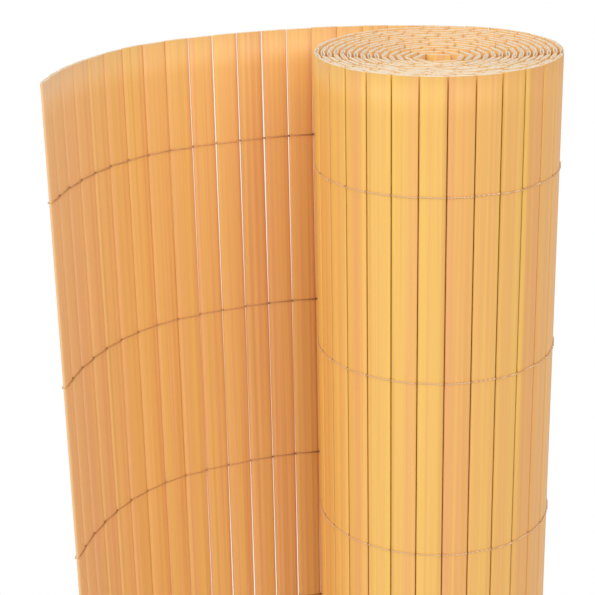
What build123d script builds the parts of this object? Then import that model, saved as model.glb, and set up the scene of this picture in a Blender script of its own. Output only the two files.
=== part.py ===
from build123d import *

import os
from math import asin, cos, pi, radians, sin, sqrt

# PVC screening: hollow slats side by side, tied by rows of thread, with one end unrolled.
# The roll stands on end. Sizes are in millimetres, +Z is up along the slats.

# Slats
slat_length = 900.0
slat_width = 17.6
slat_thickness = 2.8
slat_wall = 0.6
slat_edge = 0.6  # bevel along each long edge
roll_gap = 0.26  # between slats that are still rolled
free_gap = 0.71  # between slats of the free end, where the threads lie slack

# Threads
thread_top = 78.0  # from the slats' upper ends to the first row
thread_spacing = 128.0
thread_foot = 50.0  # least distance from the last row to the slats' lower ends
thread_thickness = 0.3
thread_height = 0.9
thread_seat = 0.05  # clearance between a thread and the slats it crosses

# Roll, measured at the middle of the slats' thickness
roll_radius = 83.6  # where the free end leaves the roll
roll_start = 83.7  # direction of that place from the roll's axis, in degrees from +X
core_radius = 14.0
turn_clearance = 0.25  # between the threads of one turn and those of the next
turn_web = 1.0  # what the grooves leave between two slats of the fused inner turns

# Free end, from the roll outwards: three stretches with a bending radius each
sweep_slats = 11
sweep_radius = 270.0
elbow_slats = 4
elbow_radius = 135.0
tail_slats = 4
tail_radius = 201.0

roll_pitch = slat_width + roll_gap
free_pitch = slat_width + free_gap
half_slat = slat_thickness / 2
thread_inside = half_slat + thread_seat
thread_outside = thread_inside + thread_thickness
free_slats = sweep_slats + elbow_slats + tail_slats
thread_rows = int((slat_length - thread_top - thread_foot) / thread_spacing) + 1


def turn_growth(radius):
    """Room that one turn takes: a slat, a thread on each face and the rise of its chord."""
    chord_rise = roll_pitch**2 / (8 * radius)
    return slat_thickness + 2 * (thread_seat + thread_thickness) + turn_clearance + chord_rise


def roll_joints():
    """Middles of the gaps between rolled slats, from the outside clockwise to the core."""
    radius, angle = roll_radius, radians(roll_start)
    joints = [Vector(radius * cos(angle), radius * sin(angle))]
    while radius > core_radius:
        step = roll_pitch / radius
        inner = radius - turn_growth(radius) * step / (2 * pi)
        step = 2 * asin(sqrt((roll_pitch**2 - (radius - inner) ** 2) / (4 * radius * inner)))
        radius, angle = inner, angle - step
        joints.append(Vector(radius * cos(angle), radius * sin(angle)))
    return joints


def free_joints(root, inward):
    """Middles of the gaps of the free end, from its tip to the last one before the roll."""
    heading = (root - inward).normalized()
    joints = [root]
    stretches = [
        (sweep_slats, sweep_radius),
        (elbow_slats, elbow_radius),
        (tail_slats, tail_radius),
    ]
    for slats, bend_radius in stretches:
        for _ in range(slats):
            heading = heading.rotate(Axis.Z, 2 * asin(free_pitch / (2 * bend_radius)) * 180 / pi)
            joints.append(joints[-1] + heading * free_pitch)
    return joints[:0:-1]


def left_of(direction):
    return Vector(-direction.Y, direction.X)


def sideways(joints, index):
    """Step to the outer side at a joint that keeps lines beside the slats parallel to them."""
    last = len(joints) - 1
    before = left_of(joints[max(index, 1)] - joints[max(index, 1) - 1]).normalized()
    after = left_of(joints[min(index + 1, last)] - joints[min(index, last - 1)]).normalized()
    middle = (before + after).normalized()
    return middle / middle.dot(after)


def line_beside(joints, distance):
    return [joint + sideways(joints, index) * distance for index, joint in enumerate(joints)]


def ridged_side(joints, side):
    """One face of the fused turns: a flat ridge for each slat, with a groove at each joint."""
    shoulder = roll_gap / 2 + slat_edge
    corners = line_beside(joints, side * half_slat)
    grooves = line_beside(joints, side * turn_web / 2)
    points = []
    for groove, start, end in zip(grooves, corners, corners[1:]):
        bevel = (end - start).normalized() * shoulder
        points += [groove, start + bevel, end - bevel]
    return points + grooves[-1:]


rolled = roll_joints()
joints = free_joints(rolled[0], rolled[1]) + rolled

# The outermost turn ends where it passes under the place that the free end leaves
turn_angle = 2 * asin(roll_pitch / (2 * roll_radius))
outer_slats = int(2 * pi / turn_angle)
single_slats = free_slats + outer_slats

# A row's thread is folded round the tip: it crosses the outer face of the free end and of the
# outermost turn, and the inner face of the free end
tip_step = (joints[0] - joints[1]).normalized() * thread_thickness
fold = [joints[0] + tip_step] + joints[1:]
thread_outline = (
    line_beside(fold[: single_slats + 1], thread_outside)[::-1]
    + line_beside(fold[: free_slats + 1], -thread_outside)
    + line_beside(joints[: free_slats + 1], -thread_inside)[::-1]
    + line_beside(joints[: single_slats + 1], thread_inside)
)

# The origin is under the middle of the whole plan, which the threads bound
middle_x = (min(p.X for p in thread_outline) + max(p.X for p in thread_outline)) / 2
middle_y = (min(p.Y for p in thread_outline) + max(p.Y for p in thread_outline)) / 2
middle = Vector(middle_x, middle_y)

os.makedirs("parts", exist_ok=True)

for number in range(1, single_slats + 1):
    start, end = joints[number - 1], joints[number]
    with BuildPart() as slat:
        with BuildSketch(Plane((start + end) / 2 - middle, x_dir=end - start, z_dir=(0, 0, 1))):
            Rectangle(slat_width, slat_thickness)
            chamfer(vertices(), slat_edge)
            Rectangle(slat_width - 2 * slat_wall, slat_thickness - 2 * slat_wall, mode=Mode.SUBTRACT)
        extrude(amount=slat_length)
    slat.part.label = f"slat_{number:02d}"
    export_step(slat.part, f"parts/{slat.part.label}.step")

turns = joints[single_slats:]
with BuildPart() as inner_turns:
    with BuildSketch(Plane(-middle)):
        with BuildLine():
            Polyline(*ridged_side(turns, 1), *ridged_side(turns, -1)[::-1], close=True)
        make_face()
    extrude(amount=slat_length)
inner_turns.part.label = "inner_turns"
export_step(inner_turns.part, "parts/inner_turns.step")

for row in range(thread_rows):
    height = slat_length - thread_top - row * thread_spacing
    with BuildPart() as thread:
        with BuildSketch(Plane(Vector(0, 0, height) - middle)):
            with BuildLine():
                Polyline(*thread_outline, close=True)
            make_face()
        extrude(amount=thread_height / 2, both=True)
    thread.part.label = f"thread_row_{row + 1}"
    export_step(thread.part, f"parts/{thread.part.label}.step")

print(f"{len(joints) - 1} slats, {len(turns) - 1} of them in the fused inner turns")
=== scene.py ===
import math
import random
from functools import partial

import bpy
import numpy
from mathutils import Matrix, Vector


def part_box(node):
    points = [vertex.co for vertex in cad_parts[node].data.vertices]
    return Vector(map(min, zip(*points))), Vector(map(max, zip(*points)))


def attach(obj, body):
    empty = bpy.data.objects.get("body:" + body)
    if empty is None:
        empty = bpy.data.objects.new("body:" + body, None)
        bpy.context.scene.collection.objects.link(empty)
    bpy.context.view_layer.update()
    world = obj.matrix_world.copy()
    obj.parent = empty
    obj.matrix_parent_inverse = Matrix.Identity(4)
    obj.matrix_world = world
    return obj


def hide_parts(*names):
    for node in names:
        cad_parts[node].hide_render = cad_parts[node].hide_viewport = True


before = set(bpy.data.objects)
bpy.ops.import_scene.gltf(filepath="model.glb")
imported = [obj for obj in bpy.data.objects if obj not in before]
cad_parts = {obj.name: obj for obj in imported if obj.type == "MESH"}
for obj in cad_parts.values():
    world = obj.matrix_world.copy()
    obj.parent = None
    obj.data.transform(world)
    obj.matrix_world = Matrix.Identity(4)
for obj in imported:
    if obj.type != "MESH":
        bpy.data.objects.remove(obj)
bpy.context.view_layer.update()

print("frame loaded:", len(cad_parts), "nodes")


def toLinear(hexColour):
    # sRGB hex to the linear RGBA that sockets take
    channels = [int(hexColour[i:i + 2], 16) / 255 for i in (1, 3, 5)]
    return [c / 12.92 if c <= 0.04045 else ((c + 0.055) / 1.055) ** 2.4 for c in channels] + [1.0]


def addNode(tree, kind, inputs=None, **settings):
    # one node with its settings; an input is a value, an output, or a node for its first output
    node = tree.nodes.new(kind)
    for name, value in settings.items():
        setattr(node, name, value)
    for key, value in (inputs or {}).items():
        if isinstance(value, bpy.types.Node):
            value = value.outputs[0]
        if isinstance(value, bpy.types.NodeSocket):
            tree.links.new(value, node.inputs[key])
        else:
            node.inputs[key].default_value = value
    return node


def newMaterial(name):
    # an empty material, and the function that adds a node to it
    material = bpy.data.materials.new(name)
    material.use_nodes = True
    material.node_tree.nodes.clear()
    return material, partial(addNode, material.node_tree)


# How the screen is wound, in metres and degrees, by the same rule as the solids
winding = {
    "slatWidth": 0.0176,
    "slatThickness": 0.0028,
    "rollGap": 0.00026,
    "freeGap": 0.00071,
    "threadRoom": 0.00095,  # both threads and their play, between two turns
    "rollRadius": 0.0836,
    "rollStart": 83.7,
    "coreRadius": 0.014,
    "stretches": ((11, 0.270), (4, 0.135), (4, 0.201)),  # free end: slats and bending radius
}
freeCount = sum(count for count, radius in winding["stretches"])
singleNames = sorted(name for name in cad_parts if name.startswith("slat_"))
threadNames = sorted(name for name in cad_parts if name.startswith("thread_row_"))
singleCount = len(singleNames)


def polar(radius, angle):
    return Vector((radius * math.cos(angle), radius * math.sin(angle), 0))


def rolledJoints():
    # middles of the gaps, from where the free end leaves the roll inwards to the core
    pitch = winding["slatWidth"] + winding["rollGap"]
    radius, angle = winding["rollRadius"], math.radians(winding["rollStart"])
    joints = [polar(radius, angle)]
    while radius > winding["coreRadius"]:
        growth = winding["slatThickness"] + winding["threadRoom"] + pitch**2 / (8 * radius)
        inner = radius - growth * pitch / radius / (2 * math.pi)
        angle -= 2 * math.asin(math.sqrt((pitch**2 - (radius - inner) ** 2) / (4 * radius * inner)))
        radius = inner
        joints.append(polar(radius, angle))
    return joints


def screenJoints():
    # the whole screen, from the tip of the free end to the core
    pitch = winding["slatWidth"] + winding["freeGap"]
    rolled = rolledJoints()
    heading = (rolled[0] - rolled[1]).normalized()
    free = [rolled[0]]
    for count, radius in winding["stretches"]:
        turn = Matrix.Rotation(2 * math.asin(pitch / (2 * radius)), 3, "Z")
        for _ in range(count):
            heading = turn @ heading
            free.append(free[-1] + heading * pitch)
    return free[:0:-1] + rolled


def alongSlat(i):
    return Vector((math.cos(headings[i]), math.sin(headings[i]), 0))


def boxMiddle(name):
    low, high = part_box(name)
    return Vector(((low.x + high.x) / 2, (low.y + high.y) / 2, 0))


rawJoints = screenJoints()
rollAxis = boxMiddle("slat_01") - (rawJoints[0] + rawJoints[1]) / 2  # the roll's axis in the frame
joints = [joint + rollAxis for joint in rawJoints]
slatCount = len(joints) - 1
middles = [(a + b) / 2 for a, b in zip(joints, joints[1:])]
headings = [math.atan2(b.y - a.y, b.x - a.x) for a, b in zip(joints, joints[1:])]
misfit = max((boxMiddle(name) - middles[i]).length for i, name in enumerate(singleNames))
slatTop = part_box("slat_01")[1].z
print(f"winding: {slatCount} slats, off the solids by {misfit * 1e6:.0f} micrometres at most")


# Extruded PVC in a bamboo colour: satin, with soft pink and gold streaks drawn out along the slat
# by the die, a tone that differs from slat to slat, and a paler core that shows where it is sawn
pvc = {
    "yellow": "#F3C264",
    # tones laid over the yellow: colour, where its pattern starts and is full, and its share there
    "tan": ("#ECAC63", 0.3, 1.0, 1.0),  # on some slats more than on others
    "inner": ("#FFC47C", 0.1, -0.1, 0.75),  # painted light: the face that is rolled inwards is drawn a shade paler and pinker, for the light inside the free end
    "pink": ("#EBA66A", 0.48, 0.72, 0.7),
    "gold": ("#F5C75F", 0.48, 0.72, 0.7),
    "shade": ("#D2924C", 0.44, 0.28, 0.35),  # where the pink is least
    "dieShade": ("#D2924C", 0.5, 0.3, 0.22),
    "tipLight": ("#F3CAA0", 0.0, 1.0, 0.6),  # painted light: the slats towards the tip are drawn paler, for the light and grazing reflection they catch
    "core": "#FAE9CE",
    "speck": ("#E2C298", 0.48, 0.34, 0.6),  # laid over the core in the same way
    # streaks: metres across and along the slat, and how finely they break up
    "streaks": (0.0045, 0.9, 1.0),
    "dieLines": (0.0006, 0.15, 3.0),  # drawn wider than the die leaves them, so that they show
    "pinkShift": 31.0,  # keeps the pink streaks off the gold ones and the die lines
    "goldShift": 63.0,
    "grit": 0.0016,  # metres, speckle left by the saw, drawn coarser than it is so that it shows
    "gritDetail": 2.0,
    "sawnAbove": 0.8,  # a face is a sawn end where its normal points up or down by more than this
    "roughness": (0.3, 0.7, 0.4, 0.52),  # from and to in the die lines, and the roughness at each
    "ior": 1.53,
    "relief": 0.0002,  # metres, of the die lines
    "reliefStrength": 0.12,
}


def pvcMaterial():
    material, add = newMaterial("extruded_pvc")
    across, tone, bore, batch, face, tipLight = (
        add("ShaderNodeAttribute", attribute_name=title).outputs["Fac"]
        for title in ("across", "tone", "bore", "batch", "face", "tipLight"))
    place = add("ShaderNodeTexCoord").outputs["Object"]
    height = add("ShaderNodeSeparateXYZ", {0: place}).outputs["Z"]

    def streaks(kind, shift):
        # noise drawn out along the slat, and different on each slat
        width, length, detail = pvc[kind]
        u = add("ShaderNodeMath", {0: across, 1: 1 / width}, operation="MULTIPLY")
        v = add("ShaderNodeMath", {0: height, 1: 1 / length}, operation="MULTIPLY")
        w = add("ShaderNodeMath", {0: batch, 1: shift}, operation="ADD")
        spot = add("ShaderNodeCombineXYZ", {0: u, 1: w, 2: v})
        return add("ShaderNodeTexNoise", {"Vector": spot, "Scale": 1.0, "Detail": detail})

    def laidOver(colour, name, pattern):
        # a second colour where its pattern runs from start to full
        over, start, full, most = pvc[name]
        share = add("ShaderNodeMapRange", {0: pattern, 1: start, 2: full, 3: 0.0, 4: most})
        return add("ShaderNodeMix", {0: share, 6: colour, 7: toLinear(over)}, data_type="RGBA").outputs[2]

    dieLines = streaks("dieLines", 0.0)
    pinkish = streaks("streaks", pvc["pinkShift"])
    golden = streaks("streaks", pvc["goldShift"])
    body = toLinear(pvc["yellow"])
    # the paler inner face and the paler tip are painted light
    for name, pattern in (("tan", tone), ("inner", face), ("pink", pinkish), ("gold", golden),
                          ("shade", pinkish), ("dieShade", dieLines), ("tipLight", tipLight)):
        body = laidOver(body, name, pattern)

    grit = add("ShaderNodeTexNoise",
               {"Vector": place, "Scale": 1 / pvc["grit"], "Detail": pvc["gritDetail"]})
    core = laidOver(toLinear(pvc["core"]), "speck", grit)
    normal = add("ShaderNodeNewGeometry").outputs["True Normal"]
    upward = add("ShaderNodeSeparateXYZ", {0: normal}).outputs["Z"]
    level = add("ShaderNodeMath", {0: upward}, operation="ABSOLUTE")
    sawn = add("ShaderNodeMath", {0: level, 1: pvc["sawnAbove"]}, operation="GREATER_THAN")
    inside = add("ShaderNodeMath", {0: sawn, 1: bore}, operation="MAXIMUM")
    colour = add("ShaderNodeMix", {0: inside, 6: body, 7: core}, data_type="RGBA").outputs[2]
    low, high, smoothest, roughest = pvc["roughness"]
    roughness = add("ShaderNodeMapRange", {0: dieLines, 1: low, 2: high, 3: smoothest, 4: roughest})
    grain = add("ShaderNodeBump",
                {"Height": dieLines, "Strength": pvc["reliefStrength"], "Distance": pvc["relief"]})
    shader = add("ShaderNodeBsdfPrincipled",
                 {"Base Color": colour, "Roughness": roughness, "IOR": pvc["ior"], "Normal": grain})
    add("ShaderNodeOutputMaterial", {"Surface": shader})
    return material


# Twisted nylon thread: semi-matt, with the lay of its strands in two tones and as a fine bump,
# and browner towards a knot; the darker strand tone and the knot's brown are partly painted shadow
nylon = {
    "lay": 0.0011,  # metres from strand to strand, a little coarser than life so that it shows
    "waveRepeat": 0.314,  # metres between the bands of a wave texture of scale 1
    "slant": (0.0, 35.0, 45.0),  # degrees that the bands are turned by, askew to the thread
    "unevenness": 1.0,
    "relief": 0.0002,  # metres
    "reliefStrength": 0.4,
    "roughness": 0.5,
    "ior": 1.53,
}
# the darker strand colours and the knot colours are partly painted shadow, for the thread's shadow on the
# slats, and the brown thread is browner for it too
paleDye = {"name": "pale_nylon_thread", "colour": "#F6D9B2", "shade": "#D3A36C", "knot": "#B07640"}
brownDye = {"name": "brown_nylon_thread", "colour": "#EFBC86", "shade": "#E0AB70", "knot": "#80522A"}


def nylonMaterial(dye):
    material, add = newMaterial(dye["name"])
    place = add("ShaderNodeTexCoord").outputs["Object"]
    slant = [math.radians(angle) for angle in nylon["slant"]]
    slanted = add("ShaderNodeMapping", {"Vector": place, "Rotation": slant})
    lay = add("ShaderNodeTexWave", {
        "Vector": slanted, "Scale": nylon["waveRepeat"] / nylon["lay"], "Distortion": nylon["unevenness"],
    }).outputs["Fac"]
    strand = add("ShaderNodeMix", {0: lay, 6: toLinear(dye["shade"]), 7: toLinear(dye["colour"])},
                 data_type="RGBA").outputs[2]
    # browner by the knot value, which is partly the knot and partly painted shade
    knot = add("ShaderNodeAttribute", attribute_name="knot").outputs["Fac"]
    colour = add("ShaderNodeMix", {0: knot, 6: strand, 7: toLinear(dye["knot"])},
                 data_type="RGBA").outputs[2]
    twist = add("ShaderNodeBump",
                {"Height": lay, "Strength": nylon["reliefStrength"], "Distance": nylon["relief"]})
    shader = add("ShaderNodeBsdfPrincipled", {
        "Base Color": colour, "Roughness": nylon["roughness"], "IOR": nylon["ior"], "Normal": twist})
    add("ShaderNodeOutputMaterial", {"Surface": shader})
    return material


pvcFinish = pvcMaterial()
paleFinish = nylonMaterial(paleDye)
brownFinish = nylonMaterial(brownDye)
print("materials made")


def newTree(name, sizes):
    # a geometry tree with a mesh socket, named sizes and a finish
    tree = bpy.data.node_groups.new(name, "GeometryNodeTree")
    tree.interface.new_socket("Mesh", in_out="INPUT", socket_type="NodeSocketGeometry")
    for title, kind in sizes.items():
        tree.interface.new_socket(title, in_out="INPUT", socket_type="NodeSocket" + kind)
    tree.interface.new_socket("Finish", in_out="INPUT", socket_type="NodeSocketMaterial")
    tree.interface.new_socket("Mesh", in_out="OUTPUT", socket_type="NodeSocketGeometry")
    return tree, partial(addNode, tree)


def grown(name, base, tree, values, nodes):
    # runs a geometry tree on a base mesh and keeps the result as a plain mesh piece
    source = bpy.data.objects.new(name + "_base", base)
    bpy.context.scene.collection.objects.link(source)
    modifier = source.modifiers.new("grow", "NODES")
    modifier.node_group = tree
    for item in tree.interface.items_tree:
        if item.in_out == "INPUT" and item.name in values:
            modifier[item.identifier] = values[item.name]
    evaluated = source.evaluated_get(bpy.context.evaluated_depsgraph_get())
    mesh = bpy.data.meshes.new_from_object(evaluated)
    source.modifiers.remove(modifier)
    bpy.data.objects.remove(source)
    mesh.name = name
    piece = bpy.data.objects.new(name, mesh)
    bpy.context.scene.collection.objects.link(piece)
    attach(piece, "root")
    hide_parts(*nodes)
    triangles = sum(len(face.vertices) - 2 for face in mesh.polygons)
    print(f"{name}: {triangles} triangles, stands for {len(nodes)} nodes")


# Hollow slats, one at every point of a base mesh: flat oval tubes, sawn square
slat = {
    "wall": 0.00055,
    "squareness": 4.5,  # how flat the broad faces are: 2 is an ellipse
    "weld": 1e-6,  # corners closer than this are one
    "bow": 0.00008,  # sideways wander of a loose slat between two thread rows
    "bowLength": 0.16,
    "waist": 0.015,  # how much narrower, as a share, a loose slat is at waistAt and every waistLength
    "waistLength": 0.40,
    "waistAt": 0.83,
    "snug": (0.75, 0.0, 0.375, 1.0),  # towards the tip, in the middle, beside the roll, behind or on it
    "snugFrom": (9, 13, 14),  # slats, counted from the tip, where each of the last three starts
    "push": 0.0001,  # those behind the roll are pushed this far along, against the ones in sight
    "tipLightSlats": 6,  # with the painted light, each less than the one before it from the tip
    "streakSpread": 500.0,  # how far apart the streaks of two slats may lie in the noise
}
freeEnd = {
    "fullness": 0.0003,  # how much the rounded edges stand proud of the bevelled solids, both together
    "snugFullness": 0.0225,  # how much wider, as a share, a snug slat is
    "uneven": 0.0004,  # how far the sawn ends miss each other
    "dish": 0.0,
    "sides": 24,
    "skinSteps": 37,
    "boreSteps": 13,
    "seed": 138859,
}
outerTurn = {
    "fullness": -0.00035,  # bent round the roll, the gaps open towards the outside
    "snugFullness": 0.0,
    "uneven": 0.0004,
    "dish": 0.0,
    "sides": 24,
    "skinSteps": 37,
    "boreSteps": 13,
    "seed": 214777,
}
innerTurns = {
    "fullness": -0.00035,
    "snugFullness": 0.0,
    "uneven": 0.0006,
    "dish": 0.006,  # how much lower than the rim the sawn ends would stand at the roll's axis
    "sides": 12,  # only the ends of these show
    "skinSteps": 2,
    "boreSteps": 2,
    "seed": 13,
}


def slatTree():
    tree, add = newTree("hollow_slats", {
        "Length": "Float", "Width": "Float", "Thickness": "Float", "Wall": "Float", "Squareness": "Float",
        "Weld": "Float", "Sides": "Int", "Skin Steps": "Int", "Bore Steps": "Int",
        "Bow": "Float", "Bow Length": "Float", "Waist": "Float", "Waist Length": "Float",
        "Waist At": "Float", "Snug Fullness": "Float",
    })
    given = add("NodeGroupInput").outputs
    top = add("ShaderNodeCombineXYZ", {2: given["Length"]})
    here = add("ShaderNodeSeparateXYZ", {0: add("GeometryNodeInputPosition")}).outputs

    def oval(width, thickness):
        # a circle pushed out to a flat oval
        ring = add("GeometryNodeCurvePrimitiveCircle", {"Resolution": given["Sides"], "Radius": 1.0})
        power = add("ShaderNodeMath", {0: 2.0, 1: given["Squareness"]}, operation="DIVIDE")
        size = add("ShaderNodeMath", {0: here["X"]}, operation="ABSOLUTE")
        size = add("ShaderNodeMath", {0: size, 1: power}, operation="POWER")
        side = add("ShaderNodeMath", {0: here["X"]}, operation="SIGN")
        reach = add("ShaderNodeMath", {0: size, 1: side}, operation="MULTIPLY")
        square = add("ShaderNodeCombineXYZ", {0: reach, 1: here["Y"]})
        wide = add("ShaderNodeCombineXYZ", {0: width, 1: thickness})
        half = add("ShaderNodeVectorMath", {0: wide, 1: (0.5, 0.5, 0.5)}, operation="MULTIPLY")
        place = add("ShaderNodeVectorMath", {0: square, 1: half}, operation="MULTIPLY")
        return add("GeometryNodeSetPosition", {"Geometry": ring, "Position": place})

    def tube(profile, steps):
        path = add("GeometryNodeCurvePrimitiveLine", {"End": top})
        path = add("GeometryNodeResampleCurve", {"Curve": path, "Count": steps})
        return add("GeometryNodeCurveToMesh", {"Curve": path, "Profile Curve": profile})

    walls = add("ShaderNodeMath", {0: given["Wall"], 1: 2.0}, operation="MULTIPLY")
    boreWidth = add("ShaderNodeMath", {0: given["Width"], 1: walls}, operation="SUBTRACT")
    boreDepth = add("ShaderNodeMath", {0: given["Thickness"], 1: walls}, operation="SUBTRACT")
    outer = oval(given["Width"], given["Thickness"])
    inner = oval(boreWidth, boreDepth)
    bore = add("GeometryNodeFlipFaces", {"Mesh": tube(inner, given["Bore Steps"])})
    bore = add("GeometryNodeStoreNamedAttribute", {"Geometry": bore, "Name": "bore", "Value": 1.0},
               data_type="FLOAT", domain="FACE")
    rims = add("GeometryNodeJoinGeometry")
    for rim in (inner, outer):
        tree.links.new(rim.outputs[0], rims.inputs[0])
    foot = add("GeometryNodeFillCurve", {"Curve": rims})
    head = add("GeometryNodeTransform", {"Geometry": foot, "Translation": top})
    whole = add("GeometryNodeJoinGeometry")
    for part in (tube(outer, given["Skin Steps"]), bore, head, add("GeometryNodeFlipFaces", {"Mesh": foot})):
        tree.links.new(part.outputs[0], whole.inputs[0])
    closed = add("GeometryNodeMergeByDistance", {"Geometry": whole, "Distance": given["Weld"]})
    half = add("ShaderNodeMath", {0: given["Thickness"], 1: 0.5}, operation="MULTIPLY")
    depth = add("ShaderNodeMath", {0: here["Y"], 1: half}, operation="DIVIDE")
    for title, value in (("across", here["X"]), ("face", depth)):  # for the streaks and the painted light on the inner face
        closed = add("GeometryNodeStoreNamedAttribute", {"Geometry": closed, "Name": title, "Value": value},
                     data_type="FLOAT", domain="POINT")

    heading, batch, across, snug, lengthShare = (
        add("GeometryNodeInputNamedAttribute", {"Name": title}, data_type="FLOAT")
        for title in ("heading", "batch", "across", "snug", "lengthShare"))
    stood = add("GeometryNodeInstanceOnPoints", {
        "Points": given["Mesh"], "Instance": closed, "Rotation": add("ShaderNodeCombineXYZ", {2: heading}),
        "Scale": add("ShaderNodeCombineXYZ", {0: 1.0, 1: 1.0, 2: lengthShare})})
    solid = add("GeometryNodeRealizeInstances", {"Geometry": stood})

    # each slat wanders a little sideways along its height, as far as its neighbours let it
    wave = add("ShaderNodeMath", {0: here["Z"], 1: given["Bow Length"]}, operation="DIVIDE")
    spot = add("ShaderNodeCombineXYZ", {0: wave, 1: batch})
    noise = add("ShaderNodeTexNoise", {"Vector": spot, "Scale": 1.0, "Detail": 0.0})
    low, high = 0.25, 0.75  # what such noise mostly lies between
    wander = add("ShaderNodeMapRange", {0: noise, 1: low, 2: high, 3: -1.0, 4: 1.0})
    slack = add("ShaderNodeMath", {0: 1.0, 1: snug}, operation="SUBTRACT")
    play = add("ShaderNodeMath", {0: slack, 1: given["Bow"]}, operation="MULTIPLY")
    reach = add("ShaderNodeMath", {0: wander, 1: play}, operation="MULTIPLY")

    # a loose slat is narrower and wider by turns, a snug one fills its gaps
    rise = add("ShaderNodeMath", {0: here["Z"], 1: given["Waist At"]}, operation="SUBTRACT")
    turns = add("ShaderNodeMath", {0: rise, 1: given["Waist Length"]}, operation="DIVIDE")
    angle = add("ShaderNodeMath", {0: turns, 1: 2 * math.pi}, operation="MULTIPLY")
    swell = add("ShaderNodeMath", {0: angle}, operation="COSINE")
    pinch = add("ShaderNodeMath", {0: swell, 1: given["Waist"]}, operation="MULTIPLY")
    loose = add("ShaderNodeMath", {0: 0.0, 1: pinch}, operation="SUBTRACT")
    wider = add("ShaderNodeMix", {0: snug, 2: loose, 3: given["Snug Fullness"]}, data_type="FLOAT")
    spread = add("ShaderNodeMath", {0: wider, 1: across, 2: reach}, operation="MULTIPLY_ADD")
    ahead = add("ShaderNodeCombineXYZ", {0: add("ShaderNodeMath", {0: heading}, operation="COSINE"),
                                         1: add("ShaderNodeMath", {0: heading}, operation="SINE")})
    step = add("ShaderNodeVectorMath", {0: ahead, "Scale": spread}, operation="SCALE")
    bowed = add("GeometryNodeSetPosition", {"Geometry": solid, "Offset": step})
    smooth = add("GeometryNodeSetShadeSmooth", {"Geometry": bowed})
    dressed = add("GeometryNodeSetMaterial", {"Geometry": smooth, "Material": given["Finish"]})
    add("NodeGroupOutput", {"Mesh": dressed})
    return tree


def slatPoints(name, numbers, piece):
    # a base mesh with one point for each slat, with its heading, tone and own length
    draw = random.Random(piece["seed"])
    points = []
    own = {title: [] for title in ("heading", "tone", "batch", "lengthShare", "tipLight", "snug")}
    for i in numbers:
        depth = 1 - (middles[i] - rollAxis).length / winding["rollRadius"]
        low = piece["dish"] * max(depth, 0.0) + draw.uniform(0, piece["uneven"])
        own["heading"].append(headings[i])
        own["tone"].append(draw.random())
        own["batch"].append(draw.uniform(0, slat["streakSpread"]))
        own["lengthShare"].append(1 - low / slatTop)
        # painted light, strongest on the slat at the tip
        own["tipLight"].append(max(1 - i / slat["tipLightSlats"], 0.0))
        own["snug"].append(slat["snug"][sum(i >= start for start in slat["snugFrom"])])
        behindRoll = slat["snugFrom"][-1] <= i < freeCount
        points.append(middles[i] - alongSlat(i) * (slat["push"] if behindRoll else 0.0))
    mesh = bpy.data.meshes.new(name + "_points")
    mesh.from_pydata(points, [], [])
    for title, values in own.items():
        mesh.attributes.new(title, "FLOAT", "POINT").data.foreach_set("value", values)
    return mesh


def slatValues(piece):
    return {
        "Length": slatTop, "Width": winding["slatWidth"] + piece["fullness"],
        "Thickness": winding["slatThickness"], "Wall": slat["wall"], "Squareness": slat["squareness"],
        "Weld": slat["weld"], "Sides": piece["sides"], "Skin Steps": piece["skinSteps"],
        "Bore Steps": piece["boreSteps"], "Bow": slat["bow"], "Bow Length": slat["bowLength"],
        "Waist": slat["waist"], "Waist Length": slat["waistLength"], "Waist At": slat["waistAt"],
        "Snug Fullness": piece["snugFullness"], "Finish": pvcFinish,
    }


hollowSlats = slatTree()
for name, piece, numbers, nodes in (
        ("free_end_slats", freeEnd, range(freeCount), singleNames[:freeCount]),
        ("outer_turn_slats", outerTurn, range(freeCount, singleCount), singleNames[freeCount:]),
        ("inner_turn_slats", innerTurns, range(singleCount, slatCount), ["inner_turns"])):
    grown(name, slatPoints(name, numbers, piece), hollowSlats, slatValues(piece), nodes)


# Rows of lock stitch: a pale thread over the outer faces and a brown one over the inner faces,
# which meet in every gap
thread = {
    "knotDepth": 0.55,  # where the knots lie, as a share of the way from the gap's middle to the inner face
    "shoulder": 0.45,  # where it turns into a gap, as a share of the slat's width from its middle
    "sides": 6,
    "softness": 0.0007,  # radius of the thread's bends
    "softSteps": 2,
    "tuck": 0.00025,  # how far it is drawn in where it goes round the tip's edge
    # how brown the thread is, slat by slat and beside each knot, is partly painted shade: its shadow on the
    # slats and the shade beside the roll
    "shadeSlats": (2, 10, 13, freeCount),  # slats, counted from the tip, with how brown the thread is there:
    "atKnotShade": (0.8, 0.45, 1.0, 1.0),  # at a knot,
    "beforeKnotShade": (0.5, 0.1, 0.7, 0.2),  # just before it
    "afterKnotShade": (0.25, 0.0, 0.1, 0.0),  # and just after it
    "wander": 0.0004,  # how far it strays up or down beside a gap
    "spacing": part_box("thread_row_1")[0].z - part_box("thread_row_2")[0].z,
    "top": (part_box("thread_row_1")[0].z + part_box("thread_row_1")[1].z) / 2,
}
# the inner thread is knotted round the outer one, and is thicker there by its knotSize
outerThread = {"side": 1, "radius": 0.0004, "knotSize": 1.0, "seed": 21, "finish": paleFinish}
innerThread = {"side": -1, "radius": 0.0004, "knotSize": 1.6, "seed": 22, "finish": brownFinish}


def knotAndShadeAt(kind, i):
    return numpy.interp(i, thread["shadeSlats"], thread[kind])


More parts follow.
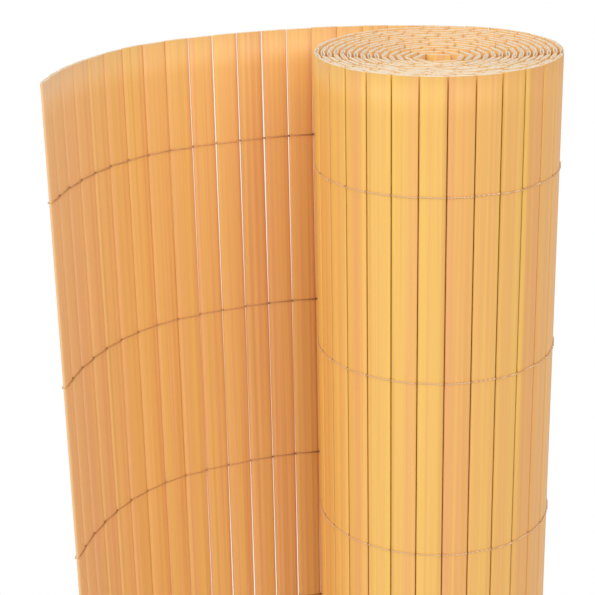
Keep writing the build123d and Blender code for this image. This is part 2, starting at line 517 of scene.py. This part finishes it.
def threadLine(name, piece):
    # one thread along the screen at the height of the top row: over each slat and into each gap
    draw = random.Random(piece["seed"])
    offset = winding["slatThickness"] / 2 + piece["radius"]
    shoulder = winding["slatWidth"] * thread["shoulder"]
    points, knotAndShadeValues = [], []
    for i in range(singleCount):
        along = alongSlat(i)
        out = Vector((-along.y, along.x, 0)) * offset
        points.append(joints[i] - out * thread["knotDepth"] if i else joints[0] + along * thread["tuck"])
        # the knot value carries painted shade as well as the knot
        knotAndShadeValues.append(knotAndShadeAt("atKnotShade" if i else "afterKnotShade", i))  # no knot at the tip
        for end in (-1, 1):
            stray = Vector((0, 0, draw.uniform(-1, 1) * thread["wander"]))
            points.append(middles[i] + along * shoulder * end + out * piece["side"] + stray)
            knotAndShadeValues.append(knotAndShadeAt("beforeKnotShade" if end > 0 else "afterKnotShade", i))
    level = Vector((0, 0, thread["top"]))
    mesh = bpy.data.meshes.new(name + "_line")
    mesh.from_pydata([point + level for point in points], [(i, i + 1) for i in range(len(points) - 1)], [])
    mesh.attributes.new("knot", "FLOAT", "POINT").data.foreach_set("value", knotAndShadeValues)
    return mesh


def threadTree():
    tree, add = newTree("thread_rows", {
        "Radius": "Float", "Knot Size": "Float", "Sides": "Int", "Softness": "Float", "Soft Steps": "Int",
        "Rows": "Int", "Spacing": "Float"})
    given = add("NodeGroupInput").outputs
    path = add("GeometryNodeMeshToCurve", {"Mesh": given["Mesh"]})
    path = add("GeometryNodeFilletCurve", {
        "Curve": path, "Radius": given["Softness"], "Count": given["Soft Steps"], "Limit Radius": True,
    }, mode="POLY")
    ring = add("GeometryNodeCurvePrimitiveCircle", {"Resolution": given["Sides"], "Radius": given["Radius"]})
    knot = add("GeometryNodeInputNamedAttribute", {"Name": "knot"}, data_type="FLOAT")
    girth = add("ShaderNodeMapRange", {0: knot, 3: 1.0, 4: given["Knot Size"]})
    strand = add("GeometryNodeCurveToMesh",
                 {"Curve": path, "Profile Curve": ring, "Scale": girth, "Fill Caps": True})
    down = add("ShaderNodeVectorMath", {0: (0, 0, -1), "Scale": given["Spacing"]}, operation="SCALE")
    rows = add("GeometryNodeMeshLine", {"Count": given["Rows"], "Offset": down})
    placed = add("GeometryNodeInstanceOnPoints", {"Points": rows, "Instance": strand})
    solid = add("GeometryNodeRealizeInstances", {"Geometry": placed})
    smooth = add("GeometryNodeSetShadeSmooth", {"Geometry": solid})
    dressed = add("GeometryNodeSetMaterial", {"Geometry": smooth, "Material": given["Finish"]})
    add("NodeGroupOutput", {"Mesh": dressed})
    return tree


def threadValues(piece):
    return {
        "Radius": piece["radius"], "Knot Size": piece["knotSize"], "Sides": thread["sides"],
        "Softness": thread["softness"], "Soft Steps": thread["softSteps"], "Rows": len(threadNames),
        "Spacing": thread["spacing"], "Finish": piece["finish"],
    }


threadRows = threadTree()
for name, piece in (("outer_threads", outerThread), ("inner_threads", innerThread)):
    grown(name, threadLine(name, piece), threadRows, threadValues(piece), threadNames)


# White sweep: a pale floor that keeps the shadow round the foot and is plain white further off
studio = {
    "floorSize": 40.0,
    "floor": "#F4F2EE",
    "shadowReach": (0.3, 0.75),  # metres from the middle, between which the floor goes plain white
    "worldLevel": 0.63,  # light from all round; to the eye the background is 1, plain white
    "lamps": {  # watts, metres across, and place
        "left": (33.0, 2.4, (-2.1, -1.7, 2.5)),
        "right": (28.0, 2.4, (0.9, -2.2, 2.6)),
    },
    "aimAside": 0.3,  # the lamps' aim, as a share of the way to the roll's axis
    "aimHeight": 0.8,  # and as a share of the slats' length
}


def seenRay(add):
    # 1 for what the camera, a reflection or a refraction looks at
    ray = add("ShaderNodeLightPath").outputs
    share = add("ShaderNodeMath", {0: ray["Is Camera Ray"], 1: ray["Is Glossy Ray"]}, operation="MAXIMUM")
    return add("ShaderNodeMath", {0: share, 1: ray["Is Transmission Ray"]}, operation="MAXIMUM")


def studioFloor():
    material, add = newMaterial("white_paper_sweep")
    place = add("ShaderNodeTexCoord").outputs["Object"]
    distance = add("ShaderNodeVectorMath", {0: place}, operation="LENGTH").outputs["Value"]
    near, far = studio["shadowReach"]
    away = add("ShaderNodeMapRange", {0: distance, 1: near, 2: far, 3: 0.0, 4: 1.0})
    share = add("ShaderNodeMath", {0: away, 1: seenRay(add)}, operation="MULTIPLY")
    paper = add("ShaderNodeBsdfDiffuse", {"Color": toLinear(studio["floor"])})
    white = add("ShaderNodeEmission", {"Strength": 1.0})
    add("ShaderNodeOutputMaterial", {"Surface": add("ShaderNodeMixShader", {0: share, 1: paper, 2: white})})
    half = studio["floorSize"] / 2
    corners = [(-half, -half, 0), (half, -half, 0), (half, half, 0), (-half, half, 0)]
    mesh = bpy.data.meshes.new("floor")
    mesh.from_pydata(corners, [], [(0, 1, 2, 3)])
    mesh.materials.append(material)
    floor = bpy.data.objects.new("floor", mesh)
    bpy.context.scene.collection.objects.link(floor)


def studioWorld():
    world = bpy.data.worlds.new("white_studio")
    world.use_nodes = True
    world.node_tree.nodes.clear()
    add = partial(addNode, world.node_tree)
    level = add("ShaderNodeMapRange", {0: seenRay(add), 3: studio["worldLevel"], 4: 1.0})
    glow = add("ShaderNodeBackground", {"Color": (1, 1, 1, 1), "Strength": level})
    add("ShaderNodeOutputWorld", {"Surface": glow})
    bpy.context.scene.world = world


def studioLamp(name, target):
    power, size, place = studio["lamps"][name]
    lamp = bpy.data.lights.new(name, "AREA")
    lamp.energy = power
    lamp.size = size
    item = bpy.data.objects.new(name, lamp)
    item.location = place
    item.rotation_mode = "QUATERNION"
    item.rotation_quaternion = (target - item.location).to_track_quat("-Z", "Y")
    bpy.context.scene.collection.objects.link(item)


studioFloor()
studioWorld()
lampAim = Vector((rollAxis.x * studio["aimAside"], 0, slatTop * studio["aimHeight"]))
for lampName in studio["lamps"]:
    studioLamp(lampName, lampAim)
print("studio lit")


# The camera, placed from the roll's axis at the slats' upper ends
shot = {
    "place": (-0.0958, -1.0511, 0.2160),
    "pitch": 20.34,  # degrees down
    "tilt": -1.18,  # degrees of roll
    "sensorWidth": 36.0,  # millimetres
    "lensToSensor": 2.687,  # focal length as a share of the sensor's width
    "clipStart": 0.05,  # metres
}
lens = bpy.data.cameras.new("shot")
lens.sensor_width = shot["sensorWidth"]
lens.lens = lens.sensor_width * shot["lensToSensor"]
lens.clip_start = shot["clipStart"]
camera = bpy.data.objects.new("shot", lens)
camera.location = Vector((rollAxis.x, rollAxis.y, slatTop)) + Vector(shot["place"])
camera.rotation_mode = "QUATERNION"
lookDown = Matrix.Rotation(math.radians(90 - shot["pitch"]), 3, "X")
tilted = Matrix.Rotation(math.radians(shot["tilt"]), 3, "Z")
camera.rotation_quaternion = (lookDown @ tilted).to_quaternion()
bpy.context.scene.collection.objects.link(camera)
bpy.context.scene.camera = camera
bpy.context.scene.view_settings.view_transform = "Standard"
print("camera set")
